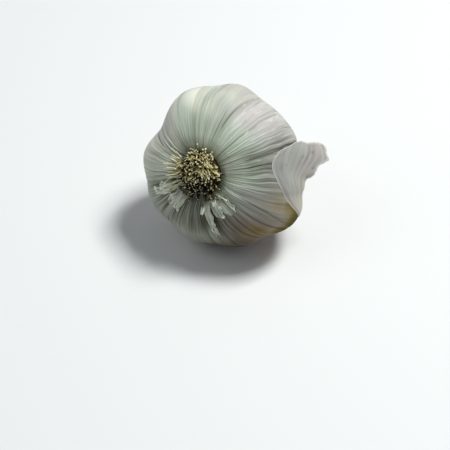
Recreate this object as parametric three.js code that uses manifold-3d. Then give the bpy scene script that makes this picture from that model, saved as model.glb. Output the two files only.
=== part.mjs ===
// A whole garlic bulb lying on its side, root end forward and a little raised, neck behind and low.
// The bulb frame has +Z along the axis out of the root end, +Y toward the side that lies uppermost
// and its zero height at the bottoms of the cloves. The finished group is leaned back onto its rest.
import * as THREE from "three";
import { mergeVertices } from "three/addons/utils/BufferGeometryUtils.js";
import Module from "manifold-3d";

// Bulb, in millimetres and degrees
const BULB_RADIUS = 29;
const LEAN = 29;
const RIDGES = 40;
const ROWS = 24;
const NECK_START = -45;
const NECK_END = -64;
const NECK_SAG = 2.6;
const NECK_SWAY = 2;
const PRESS = 0.8;
const GAP = 0.3;

// Half outline of the bulb as radius and height, from the dimple of the root end to the cut of the neck
const OUTLINE = [
  [6.4, -2.6],
  [8.9, -1.7],
  [11, -0.5],
  [14.5, 0],
  [20.6, -2.4],
  [26, -8],
  [28.7, -15.5],
  [28.7, -22],
  [26.4, -29.5],
  [22, -36],
  [16, -41.6],
  [10.8, -46],
  [7.8, -50.5],
  [6.5, -56],
  [6, NECK_END],
];

// Reach of the cloves round the axis as angle and radius, crests and hollows in turn
const CLOVES = [
  [0, 31],
  [18, 29],
  [38, 30],
  [74, 28.9],
  [93, 30.8],
  [110, 29.6],
  [132, 30.6],
  [161, 26.8],
  [188, 30.2],
  [208, 29.4],
  [226, 30.8],
  [245, 29.3],
  [268, 30.4],
  [285, 29.6],
  [305, 31],
  [315, 30.8],
  [341, 34.6],
];

// Root plate and its trimmed roots
const PLATE_RADIUS = 7.6;
const ROOTS = 112;
const ROOT_THICKNESS = 1.05;
const ROOT_SINK = 1.4;

// Torn skins
const SKIN_THICKNESS = 0.6;
const COLLAR_COLUMNS = 26;
const COLLAR_SPAN = [205, 336];
const COLLAR_INNER = 4.6;
const SKIN_LIFT = GAP + 0.65;

// Scraps of the collar as angle, width, length and how far the tip curls off the skin
const SCRAPS = [
  [214, 3.5, 5, 0.6],
  [231, 4.5, 6.5, 1],
  [250, 3.5, 5.5, 0.6],
  [302, 4.5, 16, 0.5],
  [325, 3.5, 6, 0.9],
];

// Edges and middle of the flap as angle, distance along the outline and lift off the skin, base first
const FLAP_THICKNESS = 0.8;
const FLAP_COLUMNS = 10;
const FLAP_ROWS = 16;
const FLAP_ROOTWARD = [
  [-18, 39.5, 1],
  [-7.5, 29.5, 1.2],
  [2.5, 24.5, 1.5],
  [11, 22.7, 1.7],
  [21, 21.5, 2],
  [26, 22.2, 2.4],
  [31, 24.7, 2.6],
];
const FLAP_MIDDLE = [
  [-17, 40.5, 1],
  [-7, 33.5, 1.4],
  [3.5, 29.7, 2],
  [11.5, 28.5, 2.4],
  [20, 29.5, 2.8],
  [28, 31, 3.2],
  [34, 33, 3.6],
];
const FLAP_NECKWARD = [
  [-16, 42, 1],
  [-10.5, 40, 1.1],
  [-1, 39, 1.4],
  [7, 38.5, 2.2],
  [11, 40, 6.8],
  [17, 43, 11.2],
  [28, 42.8, 9.8],
];

// Evenly spread numbers from 0 to 1 that come out the same on every run
const random = (seed) => {
  let state = seed;
  return () => {
    state = (state * 16807) % 2147483647;
    return state / 2147483647;
  };
};

const { smoothstep, degToRad, lerp } = THREE.MathUtils;
const outline = new THREE.SplineCurve(OUTLINE.map(([r, z]) => new THREE.Vector2(r, z)));
outline.arcLengthDivisions = 600;
const outlineLength = outline.getLength();
const lean = degToRad(LEAN);
const up = new THREE.Vector3(0, Math.cos(lean), Math.sin(lean));

const ridgeChance = random(11);
const ridgeHeights = Array.from({ length: RIDGES }, () => lerp(0.35, 1, ridgeChance()));

// Radius of the bulb over the cloves at an angle in radians
function cloveReach(angle) {
  const degrees = THREE.MathUtils.euclideanModulo(THREE.MathUtils.radToDeg(angle), 360);
  const next = CLOVES.findIndex(([at]) => at > degrees);
  const [toAngle, toReach] = next < 0 ? [360, CLOVES[0][1]] : CLOVES[next];
  const [fromAngle, fromReach] = CLOVES.at(next < 0 ? -1 : next - 1);
  return lerp(fromReach, toReach, smoothstep(degrees, fromAngle, toAngle));
}

// Raised veins of the skin: sharp crests with flat ground between, strongest where they gather
function ridge(angle, along) {
  const turns = (THREE.MathUtils.euclideanModulo(angle, 2 * Math.PI) / (2 * Math.PI)) * RIDGES;
  const height = ridgeHeights[Math.round(turns) % RIDGES];
  const gather = lerp(0.34, 0.16, smoothstep(along, 10, 38)) * smoothstep(along, 1, 8);
  return height * gather * Math.cos(2 * Math.PI * turns);
}

// A point of the skin at an angle and a distance along the outline from the dimple, lifted off it
function skinPoint(angle, along, lift = 0, ridged = true) {
  const part = THREE.MathUtils.clamp(along / outlineLength, 0, 1);
  const base = outline.getPointAt(part);
  const tangent = outline.getTangentAt(part);
  const belly = smoothstep(along, 1, 20) * (1 - smoothstep(along, 52, 78));
  const swell = lerp(1, cloveReach(angle) / BULB_RADIUS, belly);
  const raise = lift + (ridged ? ridge(angle, along) : 0);
  const radius = base.x * swell - tangent.y * raise;
  const height = base.y + tangent.x * raise;
  const neck = Math.max(0, (NECK_START - base.y) / (NECK_START - NECK_END)) ** 2;
  return new THREE.Vector3(
    radius * Math.cos(angle) + NECK_SWAY * neck,
    radius * Math.sin(angle) - NECK_SAG * neck,
    height,
  );
}

// Height of the resting surface: the belly is pressed flat by a little on it
let lowest = Infinity;
for (let along = 30; along < 70; along += 0.5) {
  lowest = Math.min(lowest, skinPoint(-Math.PI / 2, along).dot(up));
}
const restHeight = lowest + PRESS;
const restSpot = new THREE.Box3();

// Points under the resting surface are pressed up onto it, and the ones of the belly mark the rest
function press(point) {
  const below = restHeight - point.dot(up);
  if (below > 0) {
    point.addScaledVector(up, below);
    if (point.z > NECK_START) {
      restSpot.expandByPoint(point);
    }
  }
}

function part(name, geometry, colour, roughness) {
  const material = new THREE.MeshStandardMaterial({ color: colour, roughness, metalness: 0 });
  const mesh = new THREE.Mesh(geometry, material);
  mesh.name = name;
  return mesh;
}

// Bulb: the outline turned round the axis, with every point moved onto the lobed and ridged skin
function bulbGeometry() {
  const profile = [new THREE.Vector2(0, NECK_END)];
  for (let row = ROWS; row >= 0; row -= 1) {
    profile.push(outline.getPointAt(row / ROWS));
  }
  profile.push(new THREE.Vector2(0, OUTLINE[0][1]));
  const segments = 3 * RIDGES;
  const geometry = new THREE.LatheGeometry(profile, segments);
  const position = geometry.attributes.position;
  for (let column = 0; column <= segments; column += 1) {
    const angle = (2 * Math.PI * (column % segments)) / segments;
    for (let row = 0; row < profile.length; row += 1) {
      const index = column * profile.length + row;
      let point = skinPoint(angle, outlineLength * ((ROWS + 1 - row) / ROWS));
      if (row === 0) {
        point = new THREE.Vector3(NECK_SWAY, -NECK_SAG, NECK_END + 1.5);
      } else if (row === profile.length - 1) {
        point = new THREE.Vector3(0, 0, OUTLINE[0][1]);
      }
      press(point);
      position.setXYZ(index, point.x, point.y, point.z);
    }
  }
  return geometry;
}

// Root tuft: a corky plate set in the dimple, with trimmed roots splaying from it
const wasm = await Module();
wasm.setup();

function toSolid(geometry) {
  const bare = geometry.clone();
  bare.deleteAttribute("normal");
  bare.deleteAttribute("uv");
  const merged = mergeVertices(bare, 1e-4);
  return new wasm.Manifold(
    new wasm.Mesh({
      numProp: 3,
      vertProperties: new Float32Array(merged.attributes.position.array),
      triVerts: new Uint32Array(merged.index.array),
    }),
  );
}

function toGeometry(solid) {
  const mesh = solid.getMesh();
  const geometry = new THREE.BufferGeometry();
  geometry.setAttribute("position", new THREE.BufferAttribute(mesh.vertProperties, 3));
  geometry.setIndex(new THREE.BufferAttribute(mesh.triVerts, 1));
  return geometry;
}

function tuftGeometry() {
  const plate = [
    [0, -2.2],
    [6, -2.2],
    [7.4, -1.4],
    [PLATE_RADIUS, -0.4],
    [6.4, 0.9],
    [3.6, 1.8],
    [0, 2.1],
  ].map(([r, z]) => new THREE.Vector2(r, z));
  let tuft = toSolid(new THREE.LatheGeometry(plate, 24).rotateX(Math.PI / 2));
  const chance = random(5);
  for (let root = 0; root < ROOTS; root += 1) {
    const out = Math.sqrt((root + 0.5) / ROOTS);
    const angle = root * 2.39996;
    const splay = degToRad(4 + 54 * out ** 2 + 12 * (chance() - 0.5));
    const swing = angle + 0.35 * (chance() - 0.5);
    const length = lerp(4.6, 3.6, out) * lerp(0.7, 1.25, chance());
    const thick = ROOT_THICKNESS * lerp(0.85, 1.15, chance());
    const shaft = new THREE.CylinderGeometry(0.55 * thick, 0.5 * thick, length + ROOT_SINK, 4);
    shaft.translate(0, (length - ROOT_SINK) / 2, 0);
    shaft.rotateY(6 * chance());
    const aim = new THREE.Vector3(
      Math.sin(splay) * Math.cos(swing),
      Math.sin(splay) * Math.sin(swing),
      Math.cos(splay),
    );
    shaft.applyQuaternion(new THREE.Quaternion().setFromUnitVectors(new THREE.Vector3(0, 1, 0), aim));
    const from = (PLATE_RADIUS - 0.7) * out;
    shaft.translate(from * Math.cos(angle), from * Math.sin(angle), 2 - 1.9 * out ** 2.4);
    tuft = tuft.add(toSolid(shaft));
  }
  return toGeometry(tuft);
}

// A sheet of even thickness over a grid of points, its two faces split into triangles alike
function sheetGeometry(columns, rows, pointAt) {
  const grid = new THREE.PlaneGeometry(1, 1, columns, rows);
  const across = columns + 1;
  const count = across * (rows + 1);
  const positions = new Float32Array(count * 6);
  for (let row = 0; row <= rows; row += 1) {
    for (let column = 0; column <= columns; column += 1) {
      const index = row * across + column;
      pointAt(column / columns, row / rows, SKIN_THICKNESS).toArray(positions, index * 3);
      pointAt(column / columns, row / rows, 0).toArray(positions, (count + index) * 3);
    }
  }
  const faces = Array.from(grid.index.array);
  const index = [...faces];
  for (let face = 0; face < faces.length; face += 3) {
    index.push(count + faces[face], count + faces[face + 2], count + faces[face + 1]);
  }
  const rim = (from, to) => index.push(from, count + from, to, to, count + from, count + to);
  for (let column = 0; column < columns; column += 1) {
    rim(column + 1, column);
    rim(rows * across + column, rows * across + column + 1);
  }
  for (let row = 0; row < rows; row += 1) {
    rim(row * across, (row + 1) * across);
    rim((row + 1) * across + columns, row * across + columns);
  }
  const geometry = new THREE.BufferGeometry();
  geometry.setAttribute("position", new THREE.BufferAttribute(positions, 3));
  geometry.setIndex(index);
  return geometry;
}

// Torn collar: a ragged band of outer skin left under the roots, with longer scraps fused to it
function collarGeometry() {
  const chance = random(23);
  const tears = Array.from({ length: COLLAR_COLUMNS + 1 }, () => chance());
  const band = sheetGeometry(COLLAR_COLUMNS, 1, (u, v, height) => {
    const fade = 1 - 0.6 * Math.abs(2 * u - 1) ** 4;
    const reach = fade * lerp(1.6, 3, tears[Math.round(u * COLLAR_COLUMNS)]);
    const angle = degToRad(lerp(...COLLAR_SPAN, u));
    return skinPoint(angle, COLLAR_INNER + v * reach, SKIN_LIFT + height, false);
  });
  let collar = toSolid(band);
  for (const [at, wide, long, curl] of SCRAPS) {
    const rows = Math.ceil(long / 2.5);
    const notches = Array.from({ length: (rows + 1) * 5 }, () => chance());
    const scrap = sheetGeometry(4, rows, (u, v, height) => {
      const notch = notches[Math.round(v * rows) * 5 + Math.round(u * 4)];
      const along = COLLAR_INNER + 0.5 + v * long * lerp(0.82, 1, v < 1 ? 1 : notch);
      const radius = outline.getPointAt(along / outlineLength).x;
      const side = (u - 0.5) * wide * (1 - 0.25 * v) + 0.7 * (notch - 0.5) * (u % 1 === 0 ? v : 0);
      const lift = SKIN_LIFT + 0.05 + curl * v * v;
      return skinPoint(degToRad(at) + side / radius, along, lift + height, false);
    });
    collar = collar.add(toSolid(scrap));
  }
  return toGeometry(collar);
}

// Torn flap: a fan of outer skin still held low on the flank, standing further off toward the neck
function flapGeometry() {
  const rails = [FLAP_ROOTWARD, FLAP_MIDDLE, FLAP_NECKWARD].map(
    (rail) => new THREE.CatmullRomCurve3(rail.map((place) => new THREE.Vector3(...place))),
  );
  const chance = random(41);
  const notches = Array.from({ length: (FLAP_ROWS + 1) * 2 }, () => chance());
  return sheetGeometry(FLAP_COLUMNS, FLAP_ROWS, (across, v, height) => {
    const u = 1 - across;
    const free = smoothstep(v, 0.25, 0.5);
    const torn = u - free * 0.16 * notches[Math.round(v * FLAP_ROWS)] * smoothstep(u, 0.6, 1);
    const short = v - 0.07 * notches[FLAP_ROWS + Math.round(u * FLAP_COLUMNS)] * smoothstep(v, 0.8, 1);
    const [left, middle, right] = rails.map((rail) => rail.getPoint(short));
    const place = left
      .multiplyScalar((1 - torn) * (1 - 2 * torn))
      .addScaledVector(middle, 4 * torn * (1 - torn))
      .addScaledVector(right, torn * (2 * torn - 1));
    const lift = place.z + (height * FLAP_THICKNESS) / SKIN_THICKNESS;
    return skinPoint(degToRad(place.x), place.y, lift, false);
  });
}

const leaned = new THREE.Group();
leaned.add(part("bulb", bulbGeometry(), 0xb9bdb2, 0.55));
leaned.add(part("root_tuft", tuftGeometry(), 0x8a7d4c, 0.85));
leaned.add(part("skin_collar", collarGeometry(), 0xa9ab98, 0.6));
leaned.add(part("skin_flap", flapGeometry(), 0xb0aeb0, 0.6));

// The origin lies in the middle of the flat that the belly is pressed to
leaned.rotation.x = Math.PI / 2 - lean;
leaned.position.copy(restSpot.getCenter(new THREE.Vector3()).applyEuler(leaned.rotation).negate());

const group = new THREE.Group();
group.name = "garlic_bulb";
group.add(leaned);
group.updateMatrixWorld(true);
export default group;
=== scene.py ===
import math

import bmesh
import bpy
import numpy as np
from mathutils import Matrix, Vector, noise


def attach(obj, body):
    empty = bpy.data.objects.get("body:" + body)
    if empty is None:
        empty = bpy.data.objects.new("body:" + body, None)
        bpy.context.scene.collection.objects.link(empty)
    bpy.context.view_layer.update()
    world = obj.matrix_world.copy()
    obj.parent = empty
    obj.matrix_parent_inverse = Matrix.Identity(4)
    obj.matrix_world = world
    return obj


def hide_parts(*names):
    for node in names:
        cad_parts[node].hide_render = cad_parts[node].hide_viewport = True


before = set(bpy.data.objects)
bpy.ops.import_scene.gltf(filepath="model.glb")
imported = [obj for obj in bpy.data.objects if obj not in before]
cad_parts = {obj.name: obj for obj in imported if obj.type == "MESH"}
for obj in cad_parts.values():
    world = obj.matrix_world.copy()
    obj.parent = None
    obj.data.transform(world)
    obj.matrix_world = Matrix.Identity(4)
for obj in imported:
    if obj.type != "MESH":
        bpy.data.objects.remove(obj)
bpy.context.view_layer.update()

# The bulb: cloves grown together under a papery wrapper that narrows to a cut neck, lying on its side.
# The wrapper is dry leaf, grey-green by the roots, grey-white over the belly and lilac toward the neck,
# and its veins run from the roots over the shoulder as fine raised lines.
MM = 0.001
BULB_RADIUS = 29 * MM
LEAN = math.radians(29)
REST = np.array((0.154, -14.441, 37.758)) * MM
AXIS = np.array((0, -math.cos(LEAN), math.sin(LEAN)))
NECK_START = -45 * MM
NECK_END = -64 * MM
NECK_SAG = 2.6 * MM
NECK_SWAY = 2 * MM
NECK_CUP = 5 * MM
NECK_TEAR = 1.1 * MM
BULB_COLUMNS = 960
BULB_ROWS = 96
ROW_CROWDING = 1.15
OUTLINE_STEPS = 60

# Half outline as radius and height in millimetres, from the dimple of the root end to the cut of the neck
OUTLINE = (
    (6.4, -2.6), (8.9, -1.7), (11, -0.5), (14.5, 0), (20.6, -2.4), (26, -8), (28.7, -15.5), (28.7, -22),
    (26.4, -29.5), (22, -36), (16, -41.6), (10.8, -46), (7.8, -50.5), (6.5, -56), (6, -64),
)
# Reach of the cloves round the axis as degrees and millimetres, crests and hollows in turn
CLOVES = (
    (0, 31), (18, 29), (38, 30), (74, 28.9), (93, 30.8), (110, 29.6), (132, 30.6), (161, 26.8), (188, 30.2),
    (208, 29.4), (226, 30.8), (245, 29.3), (268, 30.4), (285, 29.6), (305, 31), (315, 30.8), (341, 34.6),
    (360, 31),
)
# Creases between the cloves as degrees, depth from 0 to 1 and where they fade in millimetres along the veins
CREASES = (
    (5, 0.3, 34), (23, 0.6, 46), (29, 0.5, 46), (34, 0.75, 46), (39, 0.5, 40), (77, 0.9, 25), (161, 0.8, 34),
    (208, 0.5, 34), (245, 0.6, 30), (285, 0.5, 30), (315, 0.6, 34), (324, 0.6, 34), (333, 0.7, 34),
    (343, 0.5, 30),
)
CREASE_WIDTH = 1.0
CREASE_WANDER = 7
CREASE_FADE = 10
# Stretches of the skin where the cloves swell it and where it is dented, in millimetres along the veins
SWOLLEN = (1, 20, 52, 78)
DENTED = (4, 16, 60, 78)
# Patterns drawn out along the veins as cells round the bulb, run in millimetres and seed
NECK_TEARS = (60, 1, 5.5)
SKIN_DENTS = (14, 15, 12.3)
SKIN_FOLDS = (30, 44, 33.8)
VEIN_BREAKS = (40, 11, 41.3)
VEIN_FADES = (33, 14, 17.9)
VEIN_WAVES = (26, 6, 71.3)
# Glint dashes break the painted highlights of the flank into short white dashes
GLINT_DASHES = (150, 3, 51.7)
# Lines of the leaf as such a pattern and how thin they are
VEINS = ((98, 80, 7.7), 4.4)
HAIRS = ((190, 50, 3.1), 4.6)
GROOVES = ((92, 70, 21.4), 6.0)
CUTS = ((210, 44, 9.9), 4.8)
# Glints are painted highlights, thin white dashes drawn like lines of the leaf
GLINTS = ((170, 60, 61.2), 3.4)
# Parts of the skin as middle and half width in degrees, then start, end and soft edge in millimetres
VEINED_FLANK = (20, 50, 12, 40, 8)
RAISED_FLANK = (6, 24, 8, 28, 6)
CALM_FLANK = (20, 24, 8, 34, 5)
CALM_TOP = (118, 36, 5, 16, 5)
PLAIN_FLANK = (338, 34, 14, 46, 6)
PLAIN_TOP = (114, 40, 14, 50, 8)
# The flank where the painted highlights glint
GLINTING_FLANK = (50, 44, 16, 40, 8)
FILLED_DIMPLE = (62, 85, -5, 2, 7)
PART_CORE = 0.35
# Heights of the relief in millimetres, and how far the veins wave in degrees
VEIN_HEIGHT = 0.15
GROOVE_DEPTH = 0.15
FOLD_HEIGHT = 0.06
CREASE_DEPTH = 0.4
DENT_DEPTH = 0.34
DIMPLE_FILL = 1.3
VEIN_WAVE = 1.6


def smooth(value, low, high):
    """A soft step from 0 to 1 as value goes from low to high."""
    part = np.clip((value - low) / (high - low), 0, 1)
    return part * part * (3 - 2 * part)


def past(along, start, end):
    """A soft step from 0 to 1 between two distances along the veins in millimetres."""
    return smooth(along, start * MM, end * MM)


def span(along, grow, full, fade, gone):
    """A stretch along the veins in millimetres that comes in from grow to full and goes from fade to gone."""
    return past(along, grow, full) * (1 - past(along, fade, gone))


def curve_through(points, steps):
    """Places along an even spline that passes through the points."""
    points = np.array(points, float)
    padded = np.vstack((points[:1], points, points[-1:]))
    part = np.linspace(0, 1, steps, endpoint=False)[:, None]
    runs = []
    for start in range(len(points) - 1):
        before, here, there, after = padded[start:start + 4]
        leave = (there - before) / 2
        arrive = (after - here) / 2
        runs.append(
            here + leave * part + (3 * (there - here) - 2 * leave - arrive) * part**2
            + (2 * (here - there) + leave + arrive) * part**3
        )
    return np.vstack((*runs, points[-1:]))


outline = curve_through(OUTLINE, OUTLINE_STEPS) * MM
outline_along = np.append(0, np.cumsum(np.linalg.norm(np.diff(outline, axis=0), axis=1)))
outline_slope = np.gradient(outline, outline_along, axis=0)
OUTLINE_LENGTH = outline_along[-1]


def clove_reach(angle):
    """Radius of the bulb over its cloves at an angle round the axis."""
    degrees = np.degrees(angle) % 360
    at, reach = np.array(CLOVES, float).T
    index = np.clip(np.searchsorted(at, degrees, "right") - 1, 0, len(at) - 2)
    step = smooth(degrees, at[index], at[index + 1])
    return (reach[index] + (reach[index + 1] - reach[index]) * step) * MM


def neck_bend(height):
    """How far the neck has bent at a height, from 0 where it starts to 1 at its cut."""
    return np.maximum(0, (NECK_START - height) / (NECK_START - NECK_END)) ** 2


def bulb_to_row(across, above, height):
    """The part's frame from the bulb's own: across it, above its axis and out of its root end."""
    row = np.stack((
        across,
        above * math.sin(LEAN) - height * math.cos(LEAN),
        above * math.cos(LEAN) + height * math.sin(LEAN),
    ), -1) + REST
    row[..., 2] = np.maximum(row[..., 2], 0)
    return row


def skin_place(angle, along, lift):
    """Points of the skin in the part's frame, at angles and distances from the root dimple, lifted off it."""
    radius, height = (np.interp(along, outline_along, outline[:, axis]) for axis in (0, 1))
    outward_run, forward_run = (np.interp(along, outline_along, outline_slope[:, axis]) for axis in (0, 1))
    swell = 1 + (clove_reach(angle) / BULB_RADIUS - 1) * span(along, *SWOLLEN)
    bend = neck_bend(height)
    radius = radius * swell - forward_run * lift
    height = height + outward_run * lift
    across = radius * np.cos(angle) + NECK_SWAY * bend
    above = radius * np.sin(angle) - NECK_SAG * bend
    return bulb_to_row(across, above, height)


def streaks(angle, along, pattern):
    """Noise from -1 to 1 drawn out along the veins."""
    around, run, seed = pattern
    ring = around / (2 * math.pi)
    steps = along.ravel() / (run * MM) + seed
    places = zip(ring * np.cos(angle).ravel(), ring * np.sin(angle).ravel(), steps)
    return np.array([noise.noise(place) for place in places]).reshape(angle.shape)


def thin_lines(angle, along, pattern, thinness):
    """Wandering lines along the leaf, 1 on a line and 0 between them."""
    return np.clip(1 - thinness * np.abs(streaks(angle, along, pattern)), 0, 1)


def patch(angle, along, part):
    """A soft-edged part of the skin, 1 inside and 0 outside it."""
    middle, half, start, end, edge = part
    away = np.abs((np.degrees(angle) - middle + 180) % 360 - 180)
    return (1 - smooth(away, PART_CORE * half, half)) * span(along, start - edge, start, end, end + edge)


def skin_lines(angle, along):
    """Raised veins with painted highlights as glints, and sunk grooves of the wrapper, each from 0 to 1."""
    near = np.maximum(1 - past(along, 9, 24), 0.5 * patch(angle, along, VEINED_FLANK))
    near = near * (1 - 0.5 * patch(angle, along, CALM_TOP))
    near = near * (1 - 0.3 * patch(angle, along, CALM_FLANK))
    broken = smooth(streaks(angle, along, VEIN_BREAKS), -0.3, 0.25)
    faint = smooth(streaks(angle, along, VEIN_FADES), -0.3, 0.3)
    wavy = angle + math.radians(VEIN_WAVE) * streaks(angle, along, VEIN_WAVES) * past(along, 6, 14)
    vein = thin_lines(wavy, along, *VEINS) * (0.18 + 0.82 * near) * (0.4 + 0.6 * broken)
    vein = vein * (1 + 0.25 * patch(angle, along, RAISED_FLANK))
    hair = thin_lines(wavy, along, *HAIRS) * (0.25 + 0.55 * near) * (0.3 + 0.7 * faint)
    groove = thin_lines(wavy, along, *GROOVES) * (0.2 + 0.8 * near) * (0.3 + 0.7 * faint)
    cut = thin_lines(wavy, along, *CUTS) * (0.2 + 0.6 * near)
    # Painted highlights: short glinting dashes on the upper flank, raised with the veins and laid pale with
    # them
    dash = smooth(streaks(angle, along, GLINT_DASHES), 0.1, 0.35)
    glint = thin_lines(angle, along, *GLINTS) * 0.7 * dash * patch(angle, along, GLINTING_FLANK)
    plain = 1 - 0.6 * patch(angle, along, PLAIN_FLANK) - 0.4 * patch(angle, along, PLAIN_TOP)
    return plain * np.maximum.reduce((vein, hair, glint)), plain * np.maximum(groove, cut)


def skin_creases(angle, along):
    """The wandering creases between the cloves, 1 in the deepest and 0 away from them."""
    deepest = np.zeros_like(angle)
    for place, depth, fade in CREASES:
        wander = CREASE_WANDER * streaks(angle, along, (3, 30, place))
        away = (np.degrees(angle) - place - wander + 180) % 360 - 180
        line = np.exp(-(away / CREASE_WIDTH) ** 2) * (1 - past(along, fade - CREASE_FADE, fade + CREASE_FADE))
        deepest = np.maximum(deepest, depth * line * past(along, 9, 15))
    return deepest


def skin_dents(angle, along):
    """Height of the broad dents of the wrapper between the cloves."""
    return DENT_DEPTH * MM * span(along, *DENTED) * streaks(angle, along, SKIN_DENTS)


def ring_faces(columns, rows):
    """Faces between closed rings of points, each ring joined to the next."""
    faces = []
    for row in range(rows):
        for column in range(columns):
            here = row * columns
            below = here + columns
            beside = (column + 1) % columns
            faces.append((here + column, below + column, below + beside, here + beside))
    return faces


def put(name, data):
    """A new object in the scene."""
    made = bpy.data.objects.new(name, data)
    bpy.context.scene.collection.objects.link(made)
    return made


def mesh_piece(name, points, faces, vectors):
    """A mesh object at the origin with its faces turned outward, and named vector values on its points."""
    mesh = bpy.data.meshes.new(name)
    mesh.from_pydata(points.tolist(), [], faces)
    for label, values in vectors.items():
        mesh.attributes.new(label, "FLOAT_VECTOR", "POINT").data.foreach_set("vector", values.ravel())
    shell = bmesh.new()
    shell.from_mesh(mesh)
    bmesh.ops.recalc_face_normals(shell, faces=shell.faces)
    shell.to_mesh(mesh)
    shell.free()
    mesh.shade_smooth()
    return put(name, mesh)


def fibre_place(angle, along):
    """Where a point lies on the wrapper: round the axis, and along the veins in centimetres."""
    return np.stack((np.cos(angle), np.sin(angle), 100 * along), -1)


turns = 2 * math.pi * np.arange(BULB_COLUMNS) / BULB_COLUMNS
distances = OUTLINE_LENGTH * np.linspace(0, 1, BULB_ROWS + 1) ** ROW_CROWDING
skin_angle, skin_along = np.meshgrid(turns, distances)


def on_skin(pattern):
    """A drawn-out pattern over the whole wrapper."""
    return streaks(skin_angle, skin_along, pattern)


def in_part(part):
    """A part of the skin over the whole wrapper."""
    return patch(skin_angle, skin_along, part)


raised, sunk = skin_lines(skin_angle, skin_along)
crease = skin_creases(skin_angle, skin_along)
gathered = (1 - 0.5 * past(skin_along, 12, 42)) * past(skin_along, 2, 9)
folds = FOLD_HEIGHT * on_skin(SKIN_FOLDS)
filled = DIMPLE_FILL * in_part(FILLED_DIMPLE)
relief = gathered * (VEIN_HEIGHT * raised - GROOVE_DEPTH * sunk + folds) - CREASE_DEPTH * crease + filled
skin_points = skin_place(skin_angle, skin_along, relief * MM + skin_dents(skin_angle, skin_along))
neck_edge = skin_points[-1]
neck_edge -= (NECK_TEAR * streaks(turns, np.zeros_like(turns), NECK_TEARS))[:, None] * AXIS
neck_edge[:, 2] = np.maximum(neck_edge[:, 2], 0)
root_pole = bulb_to_row(0.0, 0.0, OUTLINE[0][1] * MM)
neck_pole = bulb_to_row(NECK_SWAY, -NECK_SAG, NECK_END + NECK_CUP)
skin_faces = ring_faces(BULB_COLUMNS, BULB_ROWS)
last_ring = BULB_ROWS * BULB_COLUMNS
root_index = last_ring + BULB_COLUMNS
for column in range(BULB_COLUMNS):
    beside = (column + 1) % BULB_COLUMNS
    skin_faces.append((root_index, column, beside))
    skin_faces.append((root_index + 1, last_ring + beside, last_ring + column))

# Where the skin is tinted, as strength and part of the skin: lilac on the flank and toward the neck, brown
# below that is partly painted shade, olive by the torn flap, cream over the top that is partly painted
# highlight, painted light on two flanks, painted shade on the underside and in the hollows, and soil that is
# partly painted shade
LILAC_PARTS = (
    (1.0, (42, 60, 24, 62, 11)), (0.8, (340, 30, 14, 40, 8)), (0.6, (90, 18, 30, 52, 8)),
    (0.5, (152, 22, 16, 36, 8)),
)
LILAC_RING = (42, 58, 66, 80)
# Brown below, partly the skin's own brown-pink and partly painted shade on the underside
BROWN_AND_SHADE_PART = (302, 46, 14, 60, 10)
OLIVE_PARTS = ((1.1, (342, 20, 31, 40, 10)), (0.42, (338, 34, 24, 42, 12)))
# Cream over the top is partly the skin's own cream and partly painted highlight; the two other cream parts
# are painted light on the flanks
CREAM_HIGHLIGHT_TOP = (112, 48, 20, 44, 10)
CREAM_LIGHT_PARTS = ((0.75, (170, 50, 8, 30, 8)), (0.5, (68, 18, 22, 46, 8)))
UNDERSIDE = (264, 84, 6, 30, 6)
LIGHTER_UNDERSIDE = (264, 84, 18, 30, 8)
SHADE_PARTS = (
    (0.7, (22, 27, 15, 46, 7)), (0.23, (88, 16, 14, 46, 8)), (0.2, (52, 20, 20, 46, 8)),
    (0.44, (351, 22, 12, 34, 6)), (0.3, (150, 26, 5, 9, 4)), (0.3, (22, 18, 8, 13, 3)),
)
# The ring round the roots is partly soil and partly painted shade, fainter over the upper right; the patch
# below the roots is painted shade
FAINT_RING_PART = (62, 80, -5, 20, 3)
SHADED_UNDER_ROOTS = (262, 40, 6, 15, 5)
TINT_CLOUDS = (9, 12, 2.4)
STAIN_STREAKS = (44, 26, 30.6)
STAIN_CLOUDS = (12, 7, 31.9)
BLAZE_STREAKS = (34, 22, 4.9)
BLAZE_CLOUDS = (20, 9, 6.2)
RING_SPIKES = (220, 200, 13.7)


def strongest(parts):
    """The strongest of several parts of the skin at each point of the wrapper."""
    return np.maximum.reduce([strength * in_part(part) for strength, part in parts])


def with_poles(values, root=(0, 0, 0), neck=(0, 0, 0)):
    """Values of the rings of points, and after them those of the two poles."""
    return np.vstack((values.reshape(-1, 3), root, neck))


uneven = on_skin(TINT_CLOUDS)
stain_grain = 0.7 * on_skin(STAIN_STREAKS) + 0.5 * on_skin(STAIN_CLOUDS)
blaze = 0.7 * on_skin(BLAZE_STREAKS) + 0.5 * on_skin(BLAZE_CLOUDS)
lilac_share = np.maximum(strongest(LILAC_PARTS), 0.6 * span(skin_along, *LILAC_RING)) * (1 + 0.8 * uneven)
brown_and_shade_share = in_part(BROWN_AND_SHADE_PART) * (1 + 0.8 * uneven)
olive_share = strongest(OLIVE_PARTS) * (1 + stain_grain)
# Cream, partly the skin's own and partly painted highlight and painted light
cream_and_light_share = np.maximum(in_part(CREAM_HIGHLIGHT_TOP) * smooth(blaze, -0.4, 0.25), strongest(CREAM_LIGHT_PARTS))
under_share = in_part(UNDERSIDE) * (1 - 0.35 * in_part(LIGHTER_UNDERSIDE))
shade_share = np.maximum(under_share, strongest(SHADE_PARTS)) * (1 + 0.5 * uneven)
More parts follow.
